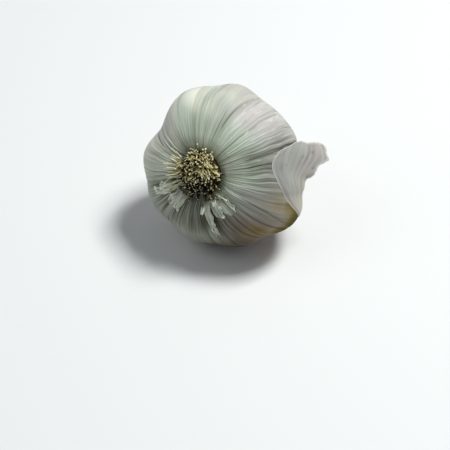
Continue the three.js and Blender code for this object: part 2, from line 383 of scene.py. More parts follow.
# Spikes of soil and painted shade reaching out from the roots
spike = np.clip(2 * on_skin(RING_SPIKES), 0, 1)
soil_and_shade_share = (1 - past(skin_along, 0.6 + 3.2 * spike, 1.8 + 5.6 * spike)) * (1 - 0.85 * in_part(FAINT_RING_PART))
soil_and_shade_share = np.maximum(soil_and_shade_share, 0.5 * in_part(SHADED_UNDER_ROOTS))
bulb = mesh_piece("bulb_wrapper", with_poles(skin_points, root_pole, neck_pole), skin_faces, {
    "fibre": with_poles(fibre_place(skin_angle, skin_along), neck=(0, 0, 100 * OUTLINE_LENGTH)),
    "lines": with_poles(np.stack((raised, sunk, crease), -1)),
    "tints": with_poles(np.clip(np.stack((lilac_share, brown_and_shade_share, olive_share), -1), 0, 1)),
    "tones": with_poles(np.stack((cream_and_light_share, np.clip(shade_share, 0, 1), soil_and_shade_share), -1)),
})


def paint(red, green, blue):
    """A colour for a shader from the everyday 0 to 255 values."""
    parts = (np.array((red, green, blue)) / 255.0).tolist()
    return (*((p / 12.92 if p <= 0.04045 else ((p + 0.055) / 1.055) ** 2.4) for p in parts), 1.0)


def plug(tree, socket, value):
    """Links a socket to another, or sets its own value."""
    if isinstance(value, bpy.types.NodeSocket):
        tree.links.new(value, socket)
    else:
        socket.default_value = value


def add(tree, kind, settings=None, **inputs):
    """A new node with its settings, and its inputs set or linked by name."""
    made = tree.nodes.new(kind)
    for key, value in (settings or {}).items():
        setattr(made, key, value)
    for key, value in inputs.items():
        plug(tree, made.inputs[key.replace("_", " ")], value)
    return made


def sum_of(tree, operation, first, second):
    """Two values put together by a sum."""
    made = add(tree, "ShaderNodeMath", {"operation": operation})
    plug(tree, made.inputs[0], first)
    plug(tree, made.inputs[1], second)
    return made.outputs[0]


def step_of(tree, value, low, high):
    """0 below low and 1 above high, softly between; turned round where low is the larger."""
    made = add(tree, "ShaderNodeMapRange", {"interpolation_type": "SMOOTHSTEP"}, Value=value)
    made.inputs["From Min"].default_value = min(low, high)
    made.inputs["From Max"].default_value = max(low, high)
    made.inputs["To Min"].default_value = 0.0 if low < high else 1.0
    made.inputs["To Max"].default_value = 1.0 if low < high else 0.0
    return made.outputs["Result"]


def ranged(tree, value, low, high):
    """A value from 0 to 1 stretched between two others."""
    made = add(tree, "ShaderNodeMapRange", Value=value)
    made.inputs["To Min"].default_value = low
    made.inputs["To Max"].default_value = high
    return made.outputs["Result"]


def graded(tree, value, stops):
    """A colour that changes with a value through the stops."""
    made = add(tree, "ShaderNodeValToRGB", Fac=value)
    marks = made.color_ramp.elements
    while len(marks) < len(stops):
        marks.new(0.5)
    for mark, (at, colour) in zip(marks, stops):
        mark.position = at
        mark.color = paint(*colour)
    return made.outputs["Color"]


def laid(tree, colour, tint, mask, share, blend="MIX"):
    """A colour with a tint laid over it where a mask shows, at a share of its strength."""
    made = add(tree, "ShaderNodeMix", {"data_type": "RGBA", "blend_type": blend, "clamp_result": True})
    factor = sum_of(tree, "MULTIPLY", mask, share)
    if not isinstance(tint, bpy.types.NodeSocket):
        tint = paint(*tint)
    for socket, value in zip((made.inputs[0], made.inputs[6], made.inputs[7]), (factor, colour, tint)):
        plug(tree, socket, value)
    return made.outputs[2]


def layered(tree, colour, layers):
    """A colour with tints laid over it in turn: tint, mask, share and, where it isn't plain, the blend."""
    for layer in layers:
        colour = laid(tree, colour, *layer)
    return colour


def new_material(name):
    """An empty material, its tree and its surface shader."""
    material = bpy.data.materials.new(name)
    material.use_nodes = True
    return material, material.node_tree, material.node_tree.nodes["Principled BSDF"]


def finish(tree, shader, colour, roughness, height, strength, depth):
    """Joins a colour, a roughness and a fine relief to a surface shader."""
    bump = add(tree, "ShaderNodeBump", Height=height, Strength=strength, Distance=depth)
    plug(tree, shader.inputs["Base Color"], colour)
    plug(tree, shader.inputs["Roughness"], roughness)
    plug(tree, shader.inputs["Normal"], bump.outputs["Normal"])


# The veins of the leaf in the skin, shared by the wrapper and its torn remnants: fine fibres, wider streaks
# and large soft blotches, all drawn out along the leaf
LEAF_LAYERS = (("Fine", (30, 30, 0.5), 3.0), ("Streak", (11, 11, 0.2), 4.0), ("Blotch", (1.7, 1.7, 0.6), 3.0))
STREAK_HEIGHT = 1.6
fibres = bpy.data.node_groups.new("leaf_fibres", "ShaderNodeTree")
fibres.interface.new_socket("Place", in_out="INPUT", socket_type="NodeSocketVector")
for label in ("Fine", "Streak", "Blotch", "Height"):
    fibres.interface.new_socket(label, in_out="OUTPUT", socket_type="NodeSocketFloat")
fibre_in = fibres.nodes.new("NodeGroupInput")
fibre_out = fibres.nodes.new("NodeGroupOutput")
layers = {}
for label, stretch, detail in LEAF_LAYERS:
    drawn_out = add(fibres, "ShaderNodeVectorMath", {"operation": "MULTIPLY"})
    plug(fibres, drawn_out.inputs[0], fibre_in.outputs["Place"])
    plug(fibres, drawn_out.inputs[1], stretch)
    grain = add(
        fibres, "ShaderNodeTexNoise", Vector=drawn_out.outputs[0], Scale=1.0, Detail=detail, Roughness=0.6,
    )
    layers[label] = grain.outputs["Fac"]
    plug(fibres, fibre_out.inputs[label], layers[label])
streak_height = sum_of(fibres, "MULTIPLY", layers["Streak"], STREAK_HEIGHT)
plug(fibres, fibre_out.inputs["Height"], sum_of(fibres, "ADD", layers["Fine"], streak_height))


def point_vector(tree, label):
    """The vector that a mesh carries on its points under a name."""
    return add(tree, "ShaderNodeAttribute", {"attribute_name": label}).outputs["Vector"]


def point_values(tree, label):
    """The three values of such a vector."""
    return add(tree, "ShaderNodeSeparateXYZ", Vector=point_vector(tree, label)).outputs


def leaf_fibres(tree):
    """The pattern of the leaf in a material."""
    return add(tree, "ShaderNodeGroup", {"node_tree": fibres}, Place=point_vector(tree, "fibre")).outputs


def along_leaf(tree):
    """How far along the veins each point lies, from 0 at the roots to 1 at the cut of the neck."""
    return sum_of(tree, "DIVIDE", point_values(tree, "fibre")["Z"], 100 * OUTLINE_LENGTH)


WRAPPER_RAMP = (
    (0.00, (70, 72, 48)), (0.02, (154, 164, 134)), (0.05, (190, 202, 177)),
    (0.20, (192, 202, 187)), (0.36, (208, 211, 201)), (0.48, (202, 200, 194)),
    (0.74, (198, 190, 182)), (0.86, (188, 172, 148)), (1.00, (166, 146, 112)),
)
OLIVE_RAMP = ((0.10, (150, 132, 88)), (0.50, (128, 110, 58)), (1.00, (88, 76, 6)))
BLOTCH_WHITE = (222, 222, 206)
# Cream laid on as partly the skin's own colour and partly painted highlight and painted light
BLAZE_CREAM_AND_LIGHT = (242, 242, 225)
LILAC_TINT = (194, 181, 186)
# Brown of the underside, partly the skin's own and partly painted shade
BROWN_AND_SHADE_TINT = (106, 78, 62)
SHADE_TINT = (106, 109, 82)
STREAK_GREY = (178, 182, 170)
GROOVE_GREY = (104, 107, 100)
# The creases' darker grey is painted shade
CREASE_SHADE_GREY = (84, 78, 82)
# White of the pale veins and of the glints, which are painted highlights
VEIN_AND_GLINT_WHITE = (236, 240, 228)
# Dark brown of the soil and painted shade round the roots
SOIL_AND_SHADE_BROWN = (70, 70, 46)
SILK_GREY = (120, 122, 114)

papery, tree, shader = new_material("papery_wrapper")
leaf = leaf_fibres(tree)
on_vein_and_glint, in_groove, in_crease = point_values(tree, "lines")
lilac_mask, brown_and_shade_mask, olive_mask = point_values(tree, "tints")
cream_and_light_mask, shade_mask, soil_and_shade_mask = point_values(tree, "tones")
stained = step_of(tree, olive_mask, 0.0, 0.8)
# The veins are laid pale, and with them the glints as painted highlights
pale_veins_and_glints = sum_of(tree, "MULTIPLY", on_vein_and_glint, ranged(tree, brown_and_shade_mask, 1.0, 0.4))
pale_veins_and_glints = sum_of(tree, "MULTIPLY", pale_veins_and_glints, ranged(tree, stained, 1.0, 0.2))
silk = sum_of(tree, "MULTIPLY", step_of(tree, leaf["Fine"], 0.54, 0.72), ranged(tree, stained, 1.0, 0.15))
colour = graded(tree, along_leaf(tree), WRAPPER_RAMP)
colour = layered(tree, colour, (
    (BLOTCH_WHITE, step_of(tree, leaf["Blotch"], 0.5, 0.32), 0.35),
    # Cream, partly the skin's own colour and partly painted highlight and painted light
    (BLAZE_CREAM_AND_LIGHT, cream_and_light_mask, 0.85),
    (LILAC_TINT, lilac_mask, 0.65),
    # Brown below, partly the skin's own brown-pink and partly painted shade
    (BROWN_AND_SHADE_TINT, brown_and_shade_mask, 0.84),
    (SHADE_TINT, shade_mask, 1.0, "MULTIPLY"),
    (graded(tree, olive_mask, OLIVE_RAMP), stained, 0.96),
    (STREAK_GREY, step_of(tree, leaf["Streak"], 0.5, 0.36), 0.45, "MULTIPLY"),
    (GROOVE_GREY, in_groove, 0.9, "MULTIPLY"),
    # Painted shade darkens the creases between the cloves
    (CREASE_SHADE_GREY, in_crease, 0.9, "MULTIPLY"),
    (VEIN_AND_GLINT_WHITE, pale_veins_and_glints, 0.68),
    # Soil round the roots, partly painted shade, and painted shade below them
    (SOIL_AND_SHADE_BROWN, soil_and_shade_mask, 0.75),
    (SILK_GREY, silk, 0.4, "SCREEN"),
))
satin = sum_of(tree, "MAXIMUM", ranged(tree, leaf["Streak"], 0.42, 0.66), stained)
finish(tree, shader, colour, satin, leaf["Height"], 0.4, 0.25 * MM)
shader.inputs["Specular IOR Level"].default_value = 0.2
bulb.data.materials.append(papery)
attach(bulb, "root")
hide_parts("bulb")

# The inside of the cut neck: the dry sheaths of the leaves, rolled one in another round a straw-like stalk.
# They are thin as paper, torn uneven at the cut, and held by the wrapper that closes round them.
SHEATH_TURNS = 3.4
SHEATH_OUTER = 5.35 * MM
SHEATH_INNER = 1.7 * MM
SHEATH_THICKNESS = 0.28 * MM
SHEATH_CRUMPLE = 0.45 * MM
SHEATH_FOOT = -57.5 * MM
SHEATH_COLUMNS = 220
SHEATH_ROWS = 10
STRAW_RAMP = ((0.30, (134, 112, 74)), (0.50, (184, 164, 122)), (0.72, (214, 200, 164)))
STRAW_RIM = (228, 218, 190)
STRAW_GREEN = (150, 140, 84)


def sheet_faces(columns, rows, first):
    """Faces of a thin closed sheet: two grids of points, outer and inner, and the rim between them."""
    wide = columns + 1
    count = wide * (rows + 1)
    faces = []
    for row in range(rows):
        for column in range(columns):
            here = first + row * wide + column
            corners = (here, here + 1, here + wide + 1, here + wide)
            faces.append(corners)
            faces.append(tuple(corner + count for corner in reversed(corners)))
    rim = [first + column for column in range(columns)]
    rim += [first + row * wide + columns for row in range(rows)]
    rim += [first + rows * wide + column for column in range(columns, 0, -1)]
    rim += [first + row * wide for row in range(rows, 0, -1)]
    for here, there in zip(rim, rim[1:] + rim[:1]):
        faces.append((there, here, here + count, there + count))
    return faces


def soft_noise(first, second, seed):
    """Noise from -1 to 1 over two values."""
    places = zip(first.ravel(), second.ravel(), np.full(first.size, seed))
    return np.array([noise.noise(place) for place in places]).reshape(first.shape)


def neck_place(radius, turn, height):
    """Points round the middle of the bent neck, in the part's frame."""
    bend = neck_bend(height)
    across = NECK_SWAY * bend + radius * np.cos(turn)
    above = -NECK_SAG * bend + radius * np.sin(turn)
    return bulb_to_row(across, above, height).reshape(-1, 3)


def flat_stack(*values):
    """Three values of a grid of points as rows of three."""
    return np.stack(values, -1).reshape(-1, 3)


wound, rise = np.meshgrid(np.linspace(0, 1, SHEATH_COLUMNS + 1), np.linspace(0, 1, SHEATH_ROWS + 1))
uneven_cut = 0.9 + 2.2 * soft_noise(wound * 30, 0 * wound, 8.2) - 1.6 * wound
sheath_height = SHEATH_FOOT + (NECK_END - uneven_cut * MM - SHEATH_FOOT) * rise
sheath_points = []
for inset in (0, SHEATH_THICKNESS):
    sheath_radius = SHEATH_OUTER + (SHEATH_INNER - SHEATH_OUTER) * wound - inset
    sheath_radius = sheath_radius + SHEATH_CRUMPLE * soft_noise(wound * 22, rise * 1.4, 4.4)
    sheath_points.append(neck_place(sheath_radius, 2 * math.pi * SHEATH_TURNS * wound, sheath_height))
sheath_fibre = flat_stack(1.4 * SHEATH_TURNS * wound, 1 + 0 * wound, 8.7 + 0.5 * rise)
sheath_lines = flat_stack(smooth(rise, 0.7, 1), 0 * wound, wound)
sheaths = mesh_piece("neck_sheaths", np.vstack(sheath_points), sheet_faces(SHEATH_COLUMNS, SHEATH_ROWS, 0), {
    "fibre": np.vstack((sheath_fibre, sheath_fibre)),
    "lines": np.vstack((sheath_lines, sheath_lines)),
})
straw, tree, shader = new_material("straw_sheath")
leaf = leaf_fibres(tree)
torn_rim, _, inward = point_values(tree, "lines")
colour = graded(tree, leaf["Streak"], STRAW_RAMP)
colour = layered(tree, colour, (
    (STRAW_RIM, torn_rim, 0.6),
    (STRAW_GREEN, inward, 0.5),
))
finish(tree, shader, colour, ranged(tree, leaf["Streak"], 0.55, 0.8), leaf["Height"], 0.5, 0.2 * MM)
sheaths.data.materials.append(straw)
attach(sheaths, "root")

# The stalk in the middle of the neck, a dry stub of fibres cut off a little below the sheaths.
# It grows up from the root plate between the cloves, and only its ragged end shows.
STALK_RADIUS = 1.5 * MM
STALK_FOOT = 1 * MM
STALK_SHORT = 1.4 * MM
STALK_FRAY = 0.8 * MM
STALK_COLUMNS = 24
STALK_ROWS = 8


def capped_rings(columns, rows):
    """Faces of a closed stub: its two ends and the rings between them."""
    ends = [tuple(range(columns)), tuple(rows * columns + column for column in range(columns))]
    return ends + ring_faces(columns, rows)


stalk_turns = 2 * math.pi * np.arange(STALK_COLUMNS) / STALK_COLUMNS
turn, rise = np.meshgrid(stalk_turns, np.linspace(0, 1, STALK_ROWS + 1))
knobs = soft_noise(3 * np.cos(turn), 3 * np.sin(turn), 1.7)
stalk_radius = STALK_RADIUS * (1 + 0.16 * knobs) * (1 - 0.12 * rise)
stalk_height = SHEATH_FOOT + STALK_FOOT + (NECK_END + STALK_SHORT - SHEATH_FOOT) * rise
stalk_height = stalk_height + rise**6 * STALK_FRAY * soft_noise(4 * np.cos(turn), 4 * np.sin(turn), 6.1)
stalk_points = neck_place(stalk_radius, turn, stalk_height)
stalk = mesh_piece("neck_stalk", stalk_points, capped_rings(STALK_COLUMNS, STALK_ROWS), {
    "fibre": flat_stack(0.3 * np.cos(turn), 0.3 * np.sin(turn), 8.6 + 0.5 * rise),
    "lines": flat_stack(rise**4, 0 * rise, 0.2 + 0 * rise),
})
stalk.data.materials.append(straw)
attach(stalk, "root")

# The root plate: the corky disc of stem that every clove is joined to, set in the dimple of the root end.
# Its face is domed, brown and lumpy, and mostly hidden by the roots that grow from it.
PLATE_OUTLINE = ((6, -2.2), (7.4, -1.4), (7.6, -0.4), (6.4, 0.9), (3.6, 1.8), (0.8, 2.1))
PLATE_STEPS = 4
PLATE_COLUMNS = 48
PLATE_LUMPS = 0.3 * MM
CRUMB_SCALE = 1500.0
CORK_RAMP = ((0.32, (20, 17, 8)), (0.52, (48, 42, 20)), (0.74, (92, 80, 42)))

plate_outline = curve_through(PLATE_OUTLINE, PLATE_STEPS) * MM
plate_rows = len(plate_outline) - 1
plate_turns = 2 * math.pi * np.arange(PLATE_COLUMNS) / PLATE_COLUMNS
turn, ring = np.meshgrid(plate_turns, np.arange(plate_rows + 1))
wobble = 1 + 0.07 * soft_noise(5 * np.cos(turn) + ring, 5 * np.sin(turn), 3.3)
lumps = PLATE_LUMPS * soft_noise(7 * np.cos(turn) + ring, 7 * np.sin(turn), 9.4)
plate_radius = plate_outline[ring, 0] * wobble
plate_height = plate_outline[ring, 1] + lumps
plate_points = bulb_to_row(plate_radius * np.cos(turn), plate_radius * np.sin(turn), plate_height)
plate = mesh_piece("root_plate", plate_points.reshape(-1, 3), capped_rings(PLATE_COLUMNS, plate_rows), {})


def speckle(tree, scale, detail, roughness):
    """Grainy noise through the body of a piece."""
    place = add(tree, "ShaderNodeTexCoord").outputs["Object"]
    made = add(tree, "ShaderNodeTexNoise", Vector=place, Scale=scale, Detail=detail, Roughness=roughness)
    return made.outputs["Fac"]


cork, tree, shader = new_material("cork_plate")
crumb = speckle(tree, CRUMB_SCALE, 4.0, 0.65)
finish(tree, shader, graded(tree, crumb, CORK_RAMP), ranged(tree, crumb, 0.8, 1.0), crumb, 0.8, 0.3 * MM)
shader.inputs["Specular IOR Level"].default_value = 0.1
plate.data.materials.append(cork)
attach(plate, "root")

# The roots: what is left of them after trimming, dry and brittle, grown out of the root plate. They stand
# close together, bent and twisted, tan outside with a cream core at the cut, and spread out at the rim.
ROOT_SEED = 17
ROOT_FLOOR = 6.7 * MM
ROOT_POINTS = 8
ROOT_SIDES = 6
ROOT_WRIGGLES = 300.0
BED_ROOTS = 340
BUNDLE_ROOTS = 110
RIM_ROOTS = 78
GOLDEN_TURN = 2.39996
ACROSS = np.array((1.0, 0, 0))
ABOVE = np.array((0, math.sin(LEAN), math.cos(LEAN)))

rng = np.random.default_rng(ROOT_SEED)
feet, aims, bends, root_sizes, shades = [], [], [], [], []


def outward(turn):
    """The direction away from the axis at an angle round it."""
    return math.cos(turn) * ACROSS + math.sin(turn) * ABOVE


def plant(turn, out, aim, bend, size, shade):
    """Notes a root: place on the plate, direction, bend, size as length, radius and wriggle, lightness."""
    across = 0.98 * ROOT_FLOOR * out * math.cos(turn) - 0.4 * MM
    above = 1.1 * ROOT_FLOOR * out * math.sin(turn)
    feet.append(bulb_to_row(across, above, (1.7 - 1.9 * out**2.4) * MM))
    aims.append(aim / np.linalg.norm(aim))
    bends.append(bend * MM)
    root_sizes.append(np.array(size) * MM)
    shades.append(shade)


# The bed of short stubs over the whole plate, lighter toward the top and darker below: painted light and
# shade
for count in range(BED_ROOTS):
    out = math.sqrt((count + 0.5) / BED_ROOTS)
    turn = count * GOLDEN_TURN + rng.normal(0, 0.12)
    low = smooth(-out * math.sin(turn), 0, 0.5)
    splay = math.radians((4 + 44 * out**2) * (1 - 0.1 * low) + rng.normal(0, 13))
    aim = math.cos(splay) * AXIS + math.sin(splay) * outward(turn + rng.normal(0, 0.4))
    length = (4.7 - 1.3 * out) * rng.uniform(0.3, 1.15) * (1 - 0.12 * low)
    bend = outward(rng.uniform(0, 2 * math.pi)) * rng.uniform(0, 1.8)
    light = rng.uniform() < 0.44 + 0.2 * out * math.sin(turn) - 0.2 * low
    shade = rng.uniform(0.6, 1.1) + 0.2 * low if light else rng.uniform(0, 0.16) - 0.8 * low
    thickness = rng.uniform(0.18, 0.36)
    wriggle = rng.uniform(0.2, 0.7)
    if out > 0.72 and math.sin(turn) > 0.5:
        length = 0.85 * length
        shade = rng.uniform(0.6, 1.1)
    plant(turn, out, aim, bend, (length, thickness, wriggle), shade)

# A bundle of longer ones over the top, most of them combed to one side along a ridge
COMB = outward(math.radians(-34))
RIDGE = outward(math.radians(56))
for _ in range(BUNDLE_ROOTS):
    combed = rng.uniform() < 0.6
    foot = rng.uniform(-0.95, 0.1) * COMB + (0.55 + rng.normal(0, 0.2)) * RIDGE
    turn = math.atan2(foot @ ABOVE, foot @ ACROSS) if combed else math.radians(rng.uniform(62, 188))
    out = min(1.0, np.linalg.norm(foot)) if combed else math.sqrt(rng.uniform(0.15, 1.15))
    aim = AXIS + 0.3 * out * outward(turn) + (0.75 if combed else 0.1) * COMB + rng.normal(0, 0.16, 3)
    bend = COMB * rng.uniform(0.6, 2.8) - AXIS * rng.uniform(0.6, 2.0) + rng.normal(0, 0.7, 3)
    shade = rng.uniform(0.6, 1.15) if rng.uniform() < 0.82 else rng.uniform(0, 0.3)
    plant(turn, out, aim, bend, (rng.uniform(4.0, 6.8), rng.uniform(0.14, 0.25), 0.6), shade)

# Thin ones that lie flat round the rim, long and pale on the one side
for count in range(RIM_ROOTS):
    long = count % 2 == 0
    degrees = 160 + 66 * (count + rng.uniform()) / RIM_ROOTS if long else rng.uniform(160, 380)
    turn = math.radians(degrees)
    aim = outward(turn) + AXIS * rng.uniform(0.15, 0.45) + rng.normal(0, 0.08, 3)
    bend = outward(turn + rng.normal(0, 1.2)) * 0.8 - AXIS * rng.uniform(0.2, 0.7)
    length = rng.uniform(3.6, 7.6) if long else rng.uniform(2.0, 4.2)
    shade = rng.uniform(1.35, 2.0) if long else rng.uniform(-0.8, 0.5)
    out = rng.uniform(0.92, 1.06)
    plant(turn, out, aim, bend, (length, rng.uniform(0.13, 0.21), 0.22), shade)

feet_mesh = bpy.data.meshes.new("root_feet")
feet_mesh.from_pydata(np.array(feet).tolist(), [], [])
for label, values in (("aim", aims), ("bend", bends), ("size", root_sizes)):
    carried = feet_mesh.attributes.new(label, "FLOAT_VECTOR", "POINT")
    carried.data.foreach_set("vector", np.array(values).ravel())
feet_mesh.attributes.new("shade", "FLOAT", "POINT").data.foreach_set("value", np.array(shades))
root_feet = put("root_feet", feet_mesh)

grow = bpy.data.node_groups.new("trimmed_roots", "GeometryNodeTree")
grow.interface.new_socket("Geometry", in_out="OUTPUT", socket_type="NodeSocketGeometry")
grow.interface.new_socket("Geometry", in_out="INPUT", socket_type="NodeSocketGeometry")
input_keys = {}
for label, kind in (("Points", "Int"), ("Sides", "Int"), ("Wriggles", "Float"), ("Finish", "Material")):
    socket = grow.interface.new_socket(label, in_out="INPUT", socket_type="NodeSocket" + kind)
    input_keys[label] = socket.identifier
given = grow.nodes.new("NodeGroupInput").outputs
grown = grow.nodes.new("NodeGroupOutput")


def carried_value(label, kind):
    """A value carried by the points of the roots."""
    return add(grow, "GeometryNodeInputNamedAttribute", {"data_type": kind}, Name=label).outputs["Attribute"]


def joined(operation, first, second):
    """Two vectors put together, or one made longer by a value."""
    made = add(grow, "ShaderNodeVectorMath", {"operation": operation})
    plug(grow, made.inputs[0], first)
    plug(grow, made.inputs["Scale" if operation == "SCALE" else 1], second)
    return made.outputs[0]


line = add(grow, "GeometryNodeCurvePrimitiveLine", Start=(0, 0, -0.25), End=(0, 0, 1))
straight = add(grow, "GeometryNodeResampleCurve", Curve=line.outputs["Curve"], Count=given["Points"])
spots = add(grow, "GeometryNodeMeshToPoints", Mesh=given["Geometry"])
facing = add(
    grow, "FunctionNodeAlignRotationToVector", {"axis": "Z"}, Vector=carried_value("aim", "FLOAT_VECTOR"),
)
root_size = add(grow, "ShaderNodeSeparateXYZ", Vector=carried_value("size", "FLOAT_VECTOR")).outputs
set_out = add(
    grow, "GeometryNodeInstanceOnPoints", Points=spots.outputs["Points"], Instance=straight.outputs["Curve"],
    Rotation=facing.outputs["Rotation"], Scale=root_size["X"],
)
roots = add(grow, "GeometryNodeRealizeInstances", Geometry=set_out.outputs["Instances"]).outputs["Geometry"]
spline_run = add(grow, "GeometryNodeSplineParameter").outputs["Factor"]
for label, value in (("root_run", spline_run), ("root_shade", carried_value("shade", "FLOAT"))):
    stored = add(grow, "GeometryNodeStoreNamedAttribute", {"data_type": "FLOAT"}, Geometry=roots, Name=label)
    plug(grow, stored.inputs["Value"], value)
    roots = stored.outputs["Geometry"]
root_run = carried_value("root_run", "FLOAT")
position = add(grow, "GeometryNodeInputPosition").outputs["Position"]
wave = add(grow, "ShaderNodeTexNoise", Vector=position, Scale=given["Wriggles"], Detail=1.0).outputs["Color"]
wave = joined("SUBTRACT", wave, (0.5, 0.5, 0.5))
wave = joined("SCALE", wave, sum_of(grow, "MULTIPLY", root_size["Z"], 4.0))
bent = joined("SCALE", carried_value("bend", "FLOAT_VECTOR"), sum_of(grow, "POWER", root_run, 2.0))
shift = joined("ADD", joined("SCALE", wave, root_run), bent)
roots = add(grow, "GeometryNodeSetPosition", Geometry=roots, Offset=shift).outputs["Geometry"]
taper = sum_of(grow, "MULTIPLY", root_size["Y"], ranged(grow, root_run, 1.12, 0.9))
section = add(grow, "GeometryNodeCurvePrimitiveCircle", Resolution=given["Sides"], Radius=1.0)
stubs = add(
    grow, "GeometryNodeCurveToMesh", Curve=roots, Profile_Curve=section.outputs["Curve"], Scale=taper,
    Fill_Caps=True,
)
whole = add(grow, "GeometryNodeRealizeInstances", Geometry=stubs.outputs["Mesh"])
finished = add(grow, "GeometryNodeSetMaterial", Geometry=whole.outputs["Geometry"], Material=given["Finish"])
plug(grow, grown.inputs["Geometry"], finished.outputs["Geometry"])

FLECK_SCALE = 1900.0
# Each root darkens toward its foot, partly dirt and partly painted shade deep between the roots
ROOT_DIRT_AND_SHADE_RAMP = ((0.40, (10, 10, 3)), (0.68, (50, 46, 16)), (0.97, (108, 97, 42)))
BARK_RAMP = ((0.36, (184, 152, 90)), (0.54, (252, 240, 176)))
# Near black for roots of lightness below 0, mostly the lower ones: painted shade
SHADED_ROOT_DARK = (18, 19, 7)
FLECK_BROWN = (60, 50, 22)
CUT_CREAM = (252, 246, 210)
BLEACHED_ROOT = (232, 230, 202)

dry_root, tree, shader = new_material("dry_root")
run = add(tree, "ShaderNodeAttribute", {"attribute_name": "root_run"}).outputs["Fac"]
lightness = add(tree, "ShaderNodeAttribute", {"attribute_name": "root_shade"}).outputs["Fac"]
fleck = speckle(tree, FLECK_SCALE, 3.0, 0.6)
barked = add(tree, "ShaderNodeClamp", Value=lightness).outputs["Result"]
barked = sum_of(tree, "MULTIPLY", step_of(tree, run, 0.44, 0.92), barked)
cut_end = sum_of(tree, "MULTIPLY", step_of(tree, run, 0.93, 1.0), ranged(tree, lightness, 0.4, 1.0))
# Dark toward the foot: partly dirt, partly painted shade between the roots
colour = graded(tree, run, ROOT_DIRT_AND_SHADE_RAMP)
colour = layered(tree, colour, (
    # Painted shade: roots of lightness below 0, mostly low on the plate, are darkened almost to black
    (SHADED_ROOT_DARK, step_of(tree, lightness, 0.0, -0.8), 0.85),
    (graded(tree, fleck, BARK_RAMP), barked, 1.0),
    (FLECK_BROWN, step_of(tree, fleck, 0.56, 0.7), 0.5),
    (CUT_CREAM, cut_end, 1.0),
    (BLEACHED_ROOT, step_of(tree, lightness, 1.0, 1.4), 0.85),
))
finish(tree, shader, colour, ranged(tree, fleck, 0.6, 0.9), fleck, 0.6, 0.15 * MM)
shader.inputs["Specular IOR Level"].default_value = 0.12

growth = root_feet.modifiers.new("trimmed_roots", "NODES")
growth.node_group = grow
inputs = {"Points": ROOT_POINTS, "Sides": ROOT_SIDES, "Wriggles": ROOT_WRIGGLES, "Finish": dry_root}
for label, value in inputs.items():
    growth[input_keys[label]] = value
evaluated = root_feet.evaluated_get(bpy.context.evaluated_depsgraph_get())
root_mesh = bpy.data.meshes.new_from_object(evaluated)
root_feet.modifiers.remove(growth)
bpy.data.objects.remove(root_feet)
root_mesh.shade_smooth()
tuft = put("trimmed_roots", root_mesh)
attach(tuft, "root")
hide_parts("root_tuft")

# The torn collar: scraps of the outermost skin left round the lower side of the roots when it was rubbed off.
# They are dry, whitish and ribbed, thin enough to curl, and still joined to the wrapper at the root end.
SCRAP_THICKNESS = 0.14 * MM
SCRAP_COLUMNS = 26
SCRAP_ROWS = 30
# Each scrap as angle, start, width, length, turn of its run in degrees, curl, crumple, count of ribs,
# paleness and how frayed its end is
SCRAPS = (
    (213, 5.0, 4.6, 6.0, 2, 0.7, 0.9, 5, 1.1, 0.3),
    (220, 7.6, 5.0, 5.0, -3, 1.2, 1.6, 4, 1.2, 0.3),
    (205, 4.0, 3.4, 3.4, 0, 0.5, 0.4, 3, 0.2, 0.3),
    (236, 4.6, 4.2, 6.2, 2, 0.7, 0.6, 9, 1.15, 0.3),
    (247, 4.4, 4.2, 6.4, 2, 0.7, 0.6, 8, 0.9, 0.3),
    (291, 6.4, 1.8, 2.4, -2, 1.0, 0.9, 3, 0.5, 0.5),
    (298, 4.6, 3.4, 14.2, 0, 0.3, 0.4, 9, 0.45, 0.5),
    (310, 4.6, 4.6, 7.6, 3, 0.3, 0.5, 8, 0.0, 0.5),
    (311, 5.0, 2.6, 2.4, 3, 0.9, 1.3, 4, 0.8, 0.5),
    (325, 6.0, 6.4, 6.4, 3, 0.2, 0.4, 9, -0.15, 0.5),
    (325, 3.8, 1.0, 4.0, 9, 0.4, 0.2, 1, 1.3, 0.5),
    (317, 7.4, 1.8, 1.5, 3, 0.7, 0.8, 3, 1.0, 0.5),
    (314, 10.2, 1.8, 1.5, 2, 0.8, 0.8, 3, 0.8, 0.5),
)
SCRAP_RAMP = ((0.34, (106, 114, 97)), (0.50, (150, 158, 141)), (0.66, (194, 200, 184)))
SCRAP_CREAM = (244, 246, 224)
# The scraps' feet by the roots are darkened as painted shade
SCRAP_FOOT_SHADE = (80, 80, 52)
RIB_WHITE = (246, 248, 230)
RIM_WHITE = (248, 249, 234)


def torn_edge(value, fine, seed):
    """An uneven torn edge along a value, from 0 to about 1."""
    broad = soft_noise(value * fine, 0 * value, seed)
    return np.abs(broad + 0.07 * soft_noise(value * fine * 3.1, 0 * value, seed + 9))


